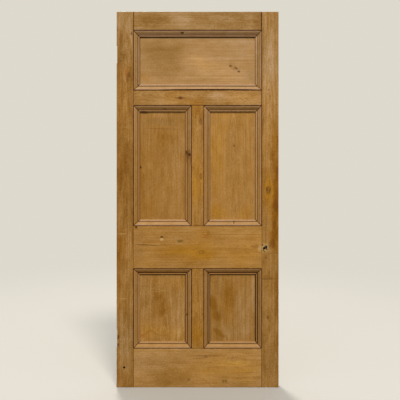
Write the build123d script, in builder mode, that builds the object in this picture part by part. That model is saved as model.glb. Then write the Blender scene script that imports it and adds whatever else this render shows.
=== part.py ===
from build123d import *
from collections import namedtuple
import os

# A front door leaf of stripped and waxed pine, with one wide panel over two pairs of upright ones.
# The stiles and rails are joined by wedged through tenons, the panels stand loose in grooves,
# and a mitred moulding is planted round each panel on both faces.
# X runs across the leaf from the hanging stile to the lock stile, Y runs through its thickness
# with the front face towards -Y, and Z runs up. The origin is the middle of the bottom edge.
# Sizes are in millimetres.

# The leaf
door_width = 914.0
door_height = 2120.0
door_thickness = 44.0
arris_radius = 1.6

# Widths of the frame's members, across their faces
stile_width = 95.0
top_rail_width = 105.0
frieze_rail_width = 87.0
lock_rail_width = 242.0
bottom_rail_width = 221.0
muntin_width = 70.0

# Clear heights between the rails; the middle pair of panels takes what is left
top_opening_height = 337.0
lower_opening_height = 449.0

# Joinery: one chisel width serves the mortices and the grooves
chisel_width = 14.0
groove_depth = 12.0
cheek_gap = 0.1
haunch_end_gap = 0.3
haunch_height = 38.0
lock_tenon_height = 70.0
bottom_tenon_height = 64.0
stub_tenon_length = 40.0
stub_end_gap = 1.0
wedge_thickness = 6.0
wedge_length = 60.0
flare_length = 70.0

# Panels, free to swell in their grooves
panel_face_gap = 0.2
panel_side_gap = 2.0
panel_top_gap = 2.0

# The planted moulding's section, from its crest beside the frame to its foot on the panel
mould_width = 36.0
mould_set_back = 0.5
mould_arris = 0.8
crest_width = 5.0
crest_drop = 1.0
ogee_foot_height = 5.0
quirk_width = 2.0
quirk_height = 3.0
bead_radius = 4.6
toe_width = 2.0

# Hinge recesses in the hanging edge, open to the front face
hinge_length = 102.0
hinge_leaf_width = 36.0
hinge_recess_depth = 3.0
top_hinge_drop = 190.0
bottom_hinge_rise = 224.0

# Holes: the lock spindle's, wider at its mouth, a blind one that breaks into it, and one low in the hanging stile
spindle_backset = 73.0
spindle_radius = 4.5
spindle_mouth_radius = 8.0
spindle_mouth_depth = 6.0
stray_backset = 82.0
stray_drop = 6.4
stray_radius = 6.0
stray_depth = 25.0
foot_hole_inset = 43.0
foot_hole_rise = 113.0
foot_hole_radius = 4.5
foot_hole_depth = 25.0

# Sizes that follow from the ones above
half_width = door_width / 2
inner_edge = half_width - stile_width
shoulder_length = 2 * inner_edge
tenon_thickness = chisel_width - 2 * cheek_gap
panel_thickness = chisel_width - 2 * panel_face_gap
stub_tenon_width = muntin_width - 2 * groove_depth
mould_height = (door_thickness - panel_thickness) / 2 - mould_set_back
wedge_tip = wedge_thickness * (1 - wedge_length / flare_length)

top_rail_bottom = door_height - top_rail_width
frieze_rail_top = top_rail_bottom - top_opening_height
frieze_rail_bottom = frieze_rail_top - frieze_rail_width
lock_rail_bottom = bottom_rail_width + lower_opening_height
lock_rail_top = lock_rail_bottom + lock_rail_width
spindle_height = (lock_rail_bottom + lock_rail_top) / 2

# A rail is known by its edges, where it is ploughed for a panel, where it takes a muntin,
# and the heights that its tenons span. Edges are -1 for the lower one and 1 for the upper.
Rail = namedtuple("Rail", "bottom top ploughed muntins tenons")
Opening = namedtuple("Opening", "left right bottom top")

rails = {
    "top_rail": Rail(
        top_rail_bottom,
        door_height,
        (-1,),
        (),
        [(top_rail_bottom + groove_depth, door_height - haunch_height)],
    ),
    "frieze_rail": Rail(
        frieze_rail_bottom,
        frieze_rail_top,
        (-1, 1),
        (-1,),
        [(frieze_rail_bottom + groove_depth, frieze_rail_top - groove_depth)],
    ),
    "lock_rail": Rail(
        lock_rail_bottom,
        lock_rail_top,
        (-1, 1),
        (-1, 1),
        [
            (lock_rail_bottom + groove_depth, lock_rail_bottom + groove_depth + lock_tenon_height),
            (lock_rail_top - groove_depth - lock_tenon_height, lock_rail_top - groove_depth),
        ],
    ),
    "bottom_rail": Rail(
        0,
        bottom_rail_width,
        (1,),
        (1,),
        [
            (haunch_height, haunch_height + bottom_tenon_height),
            (bottom_rail_width - groove_depth - bottom_tenon_height, bottom_rail_width - groove_depth),
        ],
    ),
}

muntins = {
    "middle_muntin": (lock_rail_top, frieze_rail_bottom),
    "lower_muntin": (bottom_rail_width, lock_rail_bottom),
}

openings = {"top": Opening(-inner_edge, inner_edge, frieze_rail_top, top_rail_bottom)}
for muntin_name, (low, high) in muntins.items():
    row = muntin_name.removesuffix("_muntin")
    openings[row + "_left"] = Opening(-inner_edge, -muntin_width / 2, low, high)
    openings[row + "_right"] = Opening(muntin_width / 2, inner_edge, low, high)

# Holes are (x, z, radius, depth), bored square from the front face
lock_holes = [
    (half_width - spindle_backset, spindle_height, spindle_radius, door_thickness),
    (half_width - spindle_backset, spindle_height, spindle_mouth_radius, spindle_mouth_depth),
    (half_width - stray_backset, spindle_height - stray_drop, stray_radius, stray_depth),
]
foot_holes = [(foot_hole_inset - half_width, foot_hole_rise, foot_hole_radius, foot_hole_depth)]
hinge_heights = [bottom_hinge_rise, door_height - top_hinge_drop - hinge_length]

front_face = Plane.XZ.offset(door_thickness / 2)


def stile(side, recess_heights, holes):
    """A stile on side -1 or 1: ploughed along its inner edge and morticed through for each tenon."""
    middle = side * (half_width - stile_width / 2)
    with BuildPart() as member:
        with BuildSketch(Plane.XY):
            with Locations((middle, 0)):
                Rectangle(stile_width, door_thickness)
        extrude(amount=door_height)
        outer_arrises = member.edges().filter_by(Axis.Z).sort_by(Axis.X, reverse=side > 0)[:2]
        end_arrises = member.edges().filter_by(Axis.X)
        fillet(outer_arrises + end_arrises, radius=arris_radius)

        with BuildSketch(Plane.XY):
            with Locations((side * (inner_edge + groove_depth / 2), 0)):
                Rectangle(groove_depth, chisel_width)
        extrude(amount=door_height, mode=Mode.SUBTRACT)

        flare_start = side * (half_width - flare_length)
        with BuildSketch(Plane.XZ):
            for rail_spec in rails.values():
                for low, high in rail_spec.tenons:
                    with BuildLine():
                        Polyline(
                            (side * inner_edge, low),
                            (flare_start, low),
                            (side * half_width, low - wedge_thickness),
                            (side * half_width, high + wedge_thickness),
                            (flare_start, high),
                            (side * inner_edge, high),
                            close=True,
                        )
                    make_face()
        extrude(amount=chisel_width / 2, both=True, mode=Mode.SUBTRACT)

        for height in recess_heights:
            with BuildSketch(front_face):
                with Locations((side * (half_width - hinge_recess_depth / 2), height + hinge_length / 2)):
                    Rectangle(hinge_recess_depth, hinge_length)
            extrude(amount=-hinge_leaf_width, mode=Mode.SUBTRACT)

        for x, z, radius, depth in holes:
            with BuildSketch(front_face):
                with Locations((x, z)):
                    Circle(radius)
            extrude(amount=-depth, mode=Mode.SUBTRACT)
    return member


def rail(spec, holes):
    """A rail: square shoulders, haunches that fill the stiles' grooves, and tenons to their outer edges."""
    height = spec.top - spec.bottom
    middle = (spec.top + spec.bottom) / 2
    plough_low = groove_depth if -1 in spec.ploughed else 0
    plough_high = groove_depth if 1 in spec.ploughed else 0
    haunch_low = spec.bottom + plough_low
    haunch_high = spec.top - plough_high
    haunch_length = groove_depth - haunch_end_gap
    with BuildPart() as member:
        with BuildSketch(Plane.XZ):
            with Locations((0, middle)):
                Rectangle(shoulder_length, height)
        extrude(amount=door_thickness / 2, both=True)
        long_edges = member.edges().filter_by(Axis.X).group_by(Axis.Z)
        if not plough_low:
            fillet(long_edges[0], radius=arris_radius)
        if not plough_high:
            fillet(long_edges[-1], radius=arris_radius)

        with BuildSketch(Plane.YZ):
            for edge in spec.ploughed:
                with Locations((0, middle + edge * (height - groove_depth) / 2)):
                    Rectangle(chisel_width, groove_depth)
        extrude(amount=inner_edge, both=True, mode=Mode.SUBTRACT)

        for edge in spec.muntins:
            depth = stub_tenon_length + stub_end_gap
            with BuildSketch(Plane.XZ):
                with Locations((0, middle + edge * (height - depth) / 2)):
                    Rectangle(stub_tenon_width, depth)
            extrude(amount=chisel_width / 2, both=True, mode=Mode.SUBTRACT)

        with BuildSketch(Plane.XZ):
            for side in (-1, 1):
                with Locations((side * (inner_edge + haunch_length / 2), (haunch_low + haunch_high) / 2)):
                    Rectangle(haunch_length, haunch_high - haunch_low)
                for low, high in spec.tenons:
                    with Locations((side * (inner_edge + stile_width / 2), (low + high) / 2)):
                        Rectangle(stile_width, high - low)
        extrude(amount=tenon_thickness / 2, both=True)

        for x, z, radius, depth in holes:
            with BuildSketch(front_face):
                with Locations((x, z)):
                    Circle(radius)
            extrude(amount=-depth, mode=Mode.SUBTRACT)
    return member


def muntin(low, high):
    """A muntin between two rails: ploughed on both edges, with a stub tenon at each end."""
    with BuildPart() as member:
        with BuildSketch(Plane.XY.offset(low)):
            Rectangle(muntin_width, door_thickness)
            for side in (-1, 1):
                with Locations((side * (muntin_width - groove_depth) / 2, 0)):
                    Rectangle(groove_depth, chisel_width, mode=Mode.SUBTRACT)
        extrude(amount=high - low)
        with BuildSketch(Plane.XY.offset(low - stub_tenon_length)):
            Rectangle(stub_tenon_width, tenon_thickness)
        extrude(amount=high - low + 2 * stub_tenon_length)
    return member


def panel(opening):
    """A flat panel: it stands on the floor of the lower groove and is loose at its sides and top."""
    side_reach = groove_depth - panel_side_gap
    bottom = opening.bottom - groove_depth
    top = opening.top + groove_depth - panel_top_gap
    with BuildPart() as board:
        with BuildSketch(Plane.XY.offset(bottom)):
            with Locations(((opening.left + opening.right) / 2, 0)):
                Rectangle(opening.right - opening.left + 2 * side_reach, panel_thickness)
        extrude(amount=top - bottom)
    return board


def moulding(opening, inward, face):
    """One mitred stick of moulding along the edge of an opening that faces the inward direction.

    The section lies with its first axis inwards from the frame and its second axis out from the panel.
    """
    outward = Vector(0, face, 0)
    run = inward.cross(outward)
    width = opening.right - opening.left
    height = opening.top - opening.bottom
    upright = abs(inward.X) > abs(inward.Z)
    reach = (width if upright else height) / 2
    length = height if upright else width
    centre = Vector((opening.left + opening.right) / 2, 0, (opening.bottom + opening.top) / 2)
    start = centre + outward * (panel_thickness / 2) - inward * reach - run * (length / 2)
    end = start + run * length

    crest_height = mould_height - crest_drop
    bead_end = mould_width - toe_width
    bead_start = bead_end - 2 * bead_radius
    quirk_start = bead_start - quirk_width
    ogee_middle = ((crest_width + quirk_start) / 2, (crest_height + ogee_foot_height) / 2)
    with BuildPart() as stick:
        with BuildSketch(Plane(origin=start, x_dir=inward, z_dir=run)):
            with BuildLine():
                Polyline(
                    (crest_width, crest_height),
                    (crest_width, mould_height),
                    (mould_arris, mould_height),
                    (0, mould_height - mould_arris),
                    (0, 0),
                    (mould_width, 0),
                    (mould_width, quirk_height),
                    (bead_end, quirk_height),
                )
                ThreePointArc(
                    (bead_end, quirk_height),
                    (bead_end - bead_radius, quirk_height + bead_radius),
                    (bead_start, quirk_height),
                )
                Polyline(
                    (bead_start, quirk_height),
                    (quirk_start, quirk_height),
                    (quirk_start, ogee_foot_height),
                )
                TangentArc((quirk_start, ogee_foot_height), ogee_middle, tangent=(-1, 0))
                TangentArc((crest_width, crest_height), ogee_middle, tangent=(1, 0))
            make_face()
        extrude(amount=length)
        split(bisect_by=Plane(origin=start, z_dir=run - inward), keep=Keep.TOP)
        split(bisect_by=Plane(origin=end, z_dir=-run - inward), keep=Keep.TOP)
    return stick


def wedges(spec):
    """The wedges of one rail: a pair to each tenon, driven in from the outer edges of both stiles."""
    with BuildPart() as group:
        with BuildSketch(Plane.XZ):
            for side in (-1, 1):
                tip_x = side * (half_width - wedge_length)
                for low, high in spec.tenons:
                    for edge, away in ((low, -1), (high, 1)):
                        with BuildLine():
                            Polyline(
                                (side * half_width, edge),
                                (side * half_width, edge + away * wedge_thickness),
                                (tip_x, edge + away * wedge_tip),
                                (tip_x, edge),
                                close=True,
                            )
                        make_face()
        extrude(amount=tenon_thickness / 2, both=True)
    return group


def write(piece, name):
    """Label a finished piece and write it as one file."""
    piece.part.label = name
    export_step(piece.part, f"parts/{name}.step")


os.makedirs("parts", exist_ok=True)

write(stile(-1, hinge_heights, foot_holes), "hanging_stile")
write(stile(1, [], lock_holes), "lock_stile")

for rail_name, spec in rails.items():
    write(rail(spec, lock_holes if rail_name == "lock_rail" else []), rail_name)
    write(wedges(spec), rail_name + "_wedges")

for muntin_name, (low, high) in muntins.items():
    write(muntin(low, high), muntin_name)

face_signs = {"front": -1, "back": 1}
inward_directions = {
    "bottom": Vector(0, 0, 1),
    "right": Vector(-1, 0, 0),
    "top": Vector(0, 0, -1),
    "left": Vector(1, 0, 0),
}
for opening_name, opening in openings.items():
    write(panel(opening), opening_name + "_panel")
    for face_name, face in face_signs.items():
        for edge_name, inward in inward_directions.items():
            write(moulding(opening, inward, face), f"{face_name}_{opening_name}_mould_{edge_name}")
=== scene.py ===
"""A reclaimed pine door leaf, stripped and waxed: one wide panel over two tall ones and two shorter ones."""

import math

import bmesh
import bpy
import numpy as np
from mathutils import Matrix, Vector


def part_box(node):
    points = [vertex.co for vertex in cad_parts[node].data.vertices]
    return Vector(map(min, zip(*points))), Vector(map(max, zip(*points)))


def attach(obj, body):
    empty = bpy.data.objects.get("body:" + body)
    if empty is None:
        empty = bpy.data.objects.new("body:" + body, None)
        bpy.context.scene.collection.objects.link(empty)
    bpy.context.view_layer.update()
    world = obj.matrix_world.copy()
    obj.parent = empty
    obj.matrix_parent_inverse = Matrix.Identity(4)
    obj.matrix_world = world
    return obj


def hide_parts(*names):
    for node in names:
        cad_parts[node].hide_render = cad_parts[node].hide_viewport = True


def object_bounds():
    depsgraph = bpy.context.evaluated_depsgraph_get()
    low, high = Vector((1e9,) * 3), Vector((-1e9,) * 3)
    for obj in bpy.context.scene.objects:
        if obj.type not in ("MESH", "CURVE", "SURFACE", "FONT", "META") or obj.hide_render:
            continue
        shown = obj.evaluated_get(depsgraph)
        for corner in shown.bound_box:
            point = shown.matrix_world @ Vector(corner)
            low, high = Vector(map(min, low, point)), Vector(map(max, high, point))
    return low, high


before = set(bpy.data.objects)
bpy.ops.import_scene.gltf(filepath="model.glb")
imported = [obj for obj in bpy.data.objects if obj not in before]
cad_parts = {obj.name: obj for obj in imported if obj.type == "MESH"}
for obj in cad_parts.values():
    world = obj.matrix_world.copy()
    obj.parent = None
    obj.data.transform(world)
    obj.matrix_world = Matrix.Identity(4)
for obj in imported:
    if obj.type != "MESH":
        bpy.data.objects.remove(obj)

cad_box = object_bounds()

MM = 0.001
FRONT = -1
BACK = 1

# Where the construction puts things, read from the frame
LEAF_LOW, LEAF_HIGH = (np.array(corner) for corner in cad_box)
HANGING_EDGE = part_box("hanging_stile")[1].x
LOCK_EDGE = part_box("lock_stile")[0].x
PANEL_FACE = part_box("top_panel")[1].y
RAILS = ["top_rail", "frieze_rail", "lock_rail", "bottom_rail"]
RAIL_SPANS = {rail: (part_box(rail)[0].z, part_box(rail)[1].z) for rail in RAILS}
MUNTIN_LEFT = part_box("middle_muntin")[0].x
MUNTIN_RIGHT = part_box("middle_muntin")[1].x

# Openings as (left, low, right, high)
TOP_BAND = (RAIL_SPANS["frieze_rail"][1], RAIL_SPANS["top_rail"][0])
MIDDLE_BAND = (RAIL_SPANS["lock_rail"][1], RAIL_SPANS["frieze_rail"][0])
LOWER_BAND = (RAIL_SPANS["bottom_rail"][1], RAIL_SPANS["lock_rail"][0])
OPENINGS = {
    "top": (HANGING_EDGE, TOP_BAND[0], LOCK_EDGE, TOP_BAND[1]),
    "middle_left": (HANGING_EDGE, MIDDLE_BAND[0], MUNTIN_LEFT, MIDDLE_BAND[1]),
    "middle_right": (MUNTIN_RIGHT, MIDDLE_BAND[0], LOCK_EDGE, MIDDLE_BAND[1]),
    "lower_left": (HANGING_EDGE, LOWER_BAND[0], MUNTIN_LEFT, LOWER_BAND[1]),
    "lower_right": (MUNTIN_RIGHT, LOWER_BAND[0], LOCK_EDGE, LOWER_BAND[1]),
}

# The moulding's section, in millimetres: width inwards, height off the panel
MOULD_WIDTH = 36
MOULD_HEIGHT = 14.7
CREST_WIDTH = 5
CREST_DROP = 1
CREST_ROUND = 0.8
OGEE_FOOT = 5
OGEE_END = 22.8
QUIRK_WIDTH = 2
QUIRK_HEIGHT = 3
BEAD_RADIUS = 4.6
WORN_ROUND = 0.4
CREST_MIDDLE = 0.7 * CREST_WIDTH
QUIRK_MIDDLE = OGEE_END + QUIRK_WIDTH / 2
BEAD_MIDDLE = OGEE_END + QUIRK_WIDTH + BEAD_RADIUS

# Wear, in metres: how far surfaces have sunk or swayed, how round arrises are, and how far each reaches
FACE_HOLLOW = 0.22 * MM
END_WEAR = 0.1 * MM
STICK_SWAY = 0.15 * MM
STICK_SUNK = 0.2 * MM
PROUD_RISE = 4 * MM
MITRE_GAP = 0.25 * MM
LEAF_ARRIS = 2.2 * MM
JOINT_ARRIS = 0.6 * MM
PANEL_ARRIS = 0.6 * MM
CORNER_REACH = 12 * MM
WEAR_SEED = 11

# Waves that a hand plane left: radians a metre across and along the grain, and how deep each one is
PLANE_WAVES = [(4, 9, 0.22), (31, -6, 0.18), (52, 38, 0.1)]

# Points stand a pitch apart, and closer where an arris turns, at the ends and beside a mitre
POINT_PITCH = 9 * MM
ARRIS_TURN = np.array([1.0, 0.65, 0.3])
END_TURN = np.array([1.0, 0.7, 0.35])
NEAR_MITRE = np.array([0, 1.5, 4, 8]) * MM
PAST_MITRE = 12 * MM

# Half the thickness of the plain block that lets a tenon through
TONGUE_HALF = 9 * MM


def srgb(red, green, blue):
    """A colour written as 0 to 255 on screen, as the linear colour that a shader takes."""
    screen = np.array([red, green, blue]) / 255
    linear = np.where(screen <= 0.04045, screen / 12.92, ((screen + 0.055) / 1.055) ** 2.4)
    return (*linear.tolist(), 1.0)


# Surfaces

def ring_faces(rows, around):
    """The numbers of the points in a stack of rings, and the quads between each ring and the next."""
    index = np.arange(rows * around).reshape(rows, around)
    beside = np.roll(index, -1, axis=1)
    return index, np.stack([index[:-1], beside[:-1], beside[1:], index[1:]], axis=-1).reshape(-1, 4)


def closed_mesh(name, rings):
    """Rings, an array of rows, points and 3, as one closed mesh: quads between them and a cap on each end."""
    index, quads = ring_faces(*rings.shape[:2])
    faces = [*quads.tolist(), index[0].tolist(), index[-1].tolist()]
    mesh = bpy.data.meshes.new(name)
    mesh.from_pydata(rings.reshape(-1, 3).tolist(), [], faces)
    turn_outwards(mesh)
    return mesh


def turn_outwards(mesh, merge=None, slits=False):
    """Makes every face look away from the solid, after merging points nearer than merge or filling slits."""
    work = bmesh.new()
    work.from_mesh(mesh)
    if merge is not None:
        bmesh.ops.remove_doubles(work, verts=work.verts, dist=merge)
    if slits:
        bmesh.ops.holes_fill(work, edges=work.edges, sides=4)
    bmesh.ops.recalc_face_normals(work, faces=work.faces)
    work.to_mesh(mesh)
    work.free()
    mesh.update()


def smooth(mesh, angle=35):
    """Smooth shading, with edges sharper than the angle kept sharp."""
    mesh.shade_smooth()
    mesh.set_sharp_from_angle(angle=math.radians(angle))


def point_values(mesh, **values):
    """Keeps numbers worked out for each point as attributes of the mesh, for its finish to read."""
    for name, numbers in values.items():
        attribute = mesh.attributes.new(name, "FLOAT", "POINT")
        attribute.data.foreach_set("value", np.ascontiguousarray(numbers, dtype=np.float32).ravel())


def show(name, mesh, finish, slot, *nodes):
    """Puts a mesh into the scene as a piece that stands for its CAD nodes and rides on the leaf."""
    piece = bpy.data.objects.new(name, mesh)
    bpy.context.scene.collection.objects.link(piece)
    mesh.materials.clear()
    mesh.materials.append(finish)
    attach(piece, "root")
    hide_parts(*nodes)


def hollows(first, second, seed):
    """How deep a hand-planed face lies, 0 to 1: a half, plus a sine wave for each of PLANE_WAVES."""
    depth = 0.5
    phases = np.random.default_rng(seed).uniform(0, 2 * np.pi, len(PLANE_WAVES))
    for (across, along, share), phase in zip(PLANE_WAVES, phases):
        depth = depth + share * np.sin(across * first + along * second + phase)
    return depth


def stops(half, low_arris, high_arris):
    """Places from -half to half, about a pitch apart, and closer where an arris turns at either end."""
    flat_count = max(2, int(round(2 * half / POINT_PITCH)))
    return np.concatenate([
        -half + low_arris * ARRIS_TURN[::-1] - low_arris * ARRIS_TURN[-1],
        np.linspace(low_arris - half, half - high_arris, flat_count),
        half - high_arris * (ARRIS_TURN - ARRIS_TURN[-1]),
    ])


def knocks(places, chance, count, *spans):
    """Knocks along an edge: bell curves with places, reaches in mm and depths drawn from the three spans."""
    drawn = [chance.uniform(*span, count) for span in spans]
    return sum(depth * np.exp(-((places - place) / (reach * MM)) ** 2) for place, reach, depth in zip(*drawn))


def swell(places, arris, seed):
    """An arris radius along its edge: slow sine waves, and more where it took a knock."""
    slow = 0.8 + 0.15 * np.sin(17 * places + seed) + 0.05 * np.sin(83 * places + 2 * seed)
    return arris * (slow + knocks(places, np.random.default_rng(seed), 9, (-1.1, 1.1), (6, 16), (0.2, 0.9)))


def board_rings(low, high, grain, arrises, seed):
    """A worn board between two corners: a rectangle of points carried along the grain.

    Each point of the sharp board is clamped to a box smaller all round by the arris radius, and then pushed
    out from it by that radius, which rounds every edge. The low edge, the high edge and the ends have radii
    of their own, which run into each other near the ends. The faces sink by FACE_HOLLOW times the hollows
    formula, and the long edges by half as much.
    """
    low, high = np.array([low, high])
    centre = (low + high) / 2
    half = (high - low) / 2
    across, along = (0, 2) if grain == "upright" else (2, 0)
    low_arris, high_arris, end_arris = arrises
    wide = stops(half[across], low_arris, high_arris)
    low_side = stops(half[1], low_arris, low_arris)
    high_side = stops(half[1], high_arris, high_arris)
    run = stops(half[along], end_arris, end_arris)
    sides = (
        (wide[:-1], -half[1]),
        (half[across], high_side[:-1]),
        (wide[:0:-1], half[1]),
        (-half[across], low_side[:0:-1]),
    )
    loop = np.concatenate([np.stack(np.broadcast_arrays(*side), axis=1) for side in sides])
    end_insets = end_arris * END_TURN
    insets = np.concatenate([end_insets, np.zeros(len(run)), end_insets[::-1]])
    end_rows = np.full(len(END_TURN), half[along])
    places = np.concatenate([-end_rows, run, end_rows])
    sharp = np.zeros((len(places), len(loop), 3))
    sharp[:, :, across] = (1 - insets / half[across])[:, None] * loop[:, 0]
    sharp[:, :, 1] = (1 - insets / half[1])[:, None] * loop[:, 1]
    sharp[:, :, along] = places[:, None]

    low_wear = swell(places, low_arris, seed)[:, None]
    high_wear = swell(places, high_arris, seed + 100)[:, None]
    side_radius = np.where(loop[:, 0] > 0, high_wear, low_wear)
    near_end = np.clip((np.abs(places) - half[along] + CORNER_REACH) / CORNER_REACH, 0, 1)[:, None] ** 2
    radius = (side_radius + (end_arris - side_radius) * near_end)[:, :, None]
    inner = np.clip(sharp, radius - half, half - radius)
    push = sharp - inner
    length = np.linalg.norm(push, axis=2, keepdims=True)
    worn = inner + radius * push / np.maximum(length, 1e-9)

    sink = FACE_HOLLOW * hollows(worn[:, :, across], worn[:, :, along], seed)
    worn[:, :, 1] *= 1 - sink / half[1]
    worn[:, :, across] *= 1 - 0.5 * sink / half[across]
    worn[:, :, along] *= 1 - END_WEAR / half[along]
    return worn + centre


def arc(centre, radius, start, end, count):
    """Points on a circle's arc: the centre plus the radius times (cos, sin) of evenly spaced degrees."""
    turn = np.radians(np.linspace(start, end, count))
    return np.stack([centre[0] + radius * np.cos(turn), centre[1] + radius * np.sin(turn)], axis=1)


def moulding_section():
    """The moulding's section: crest, ogee of two tangent arcs, quirk and bead, each arris a little worn."""
    ogee_width = OGEE_END - CREST_WIDTH
    ogee_top = MOULD_HEIGHT - CREST_DROP
    ogee_drop = ogee_top - OGEE_FOOT
    ogee_radius = (ogee_width ** 2 + ogee_drop ** 2) / (4 * ogee_drop)
    ogee_turn = math.degrees(math.asin(ogee_width / 2 / ogee_radius))
    toe_top = (MOULD_WIDTH - WORN_ROUND, QUIRK_HEIGHT - WORN_ROUND)
    return np.concatenate([
        [[0, 0]],
        arc((CREST_ROUND, MOULD_HEIGHT - CREST_ROUND), CREST_ROUND, 180, 90, 5),
        arc((CREST_WIDTH - WORN_ROUND, MOULD_HEIGHT - WORN_ROUND), WORN_ROUND, 90, 0, 4),
        arc((CREST_WIDTH, ogee_top - ogee_radius), ogee_radius, 90, 90 - ogee_turn, 9),
        arc((OGEE_END, OGEE_FOOT + ogee_radius), ogee_radius, 270 - ogee_turn, 270, 9)[1:],
        [[OGEE_END, QUIRK_HEIGHT]],
        arc((BEAD_MIDDLE, QUIRK_HEIGHT), BEAD_RADIUS, 180, 0, 15),
        arc(toe_top, WORN_ROUND, 90, 0, 4),
        [[MOULD_WIDTH, 0]],
    ])


def stick_mesh(name, corner, run, inward, outward, length, dirt_shade_tone_and_light, seed):
    """One mitred stick: the section carried along its edge of the opening.

    A point u inwards and v off the panel stands at corner + u inward + v outward + s run. Its s goes from u
    to length - u, less the mitre's gap, so that both ends are cut at 45 degrees. The stick sways off the
    panel by a slow sine wave, and knocks have dented its crest and bead.
    """
    u, v = (moulding_section() * MM).T
    near = NEAR_MITRE / length
    even = np.linspace(PAST_MITRE / length, 1 - PAST_MITRE / length, int(length / POINT_PITCH))
    rows = np.concatenate([near, even, 1 - near[::-1]])
    s = u + MITRE_GAP + rows[:, None] * (length - 2 * u - 2 * MITRE_GAP)
    chance = np.random.default_rng(seed)
    sway = STICK_SWAY * np.sin(chance.uniform(3, 7) * s / length + chance.uniform(0, 6))
    dents = MM * knocks(s, chance, 7, (0, length), (3, 9), (0.1, 0.7))
    proud = np.clip((v - QUIRK_HEIGHT * MM) / PROUD_RISE, 0, 1)
    height = v + np.where(v > 0, sway - STICK_SUNK, 0) - dents * proud
    rings = corner + u[:, None] * inward + height[:, :, None] * outward + s[:, :, None] * run
    mesh = closed_mesh(name, rings)
    # Each stick's old wax with painted shade, and how much lighter it is with painted light, for its finish
    # to read
    dirt, tone = dirt_shade_tone_and_light
    point_values(
        mesh,
        inwards=np.broadcast_to(u, s.shape) / MM,
        mitre=np.minimum(s - u, length - s - u) / MM,
        dirt=np.full(s.shape, dirt),
        tone=np.full(s.shape, tone + 0.02 * chance.uniform(-1, 1)),
    )
    smooth(mesh, 50)
    return mesh


# Finishes

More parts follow.
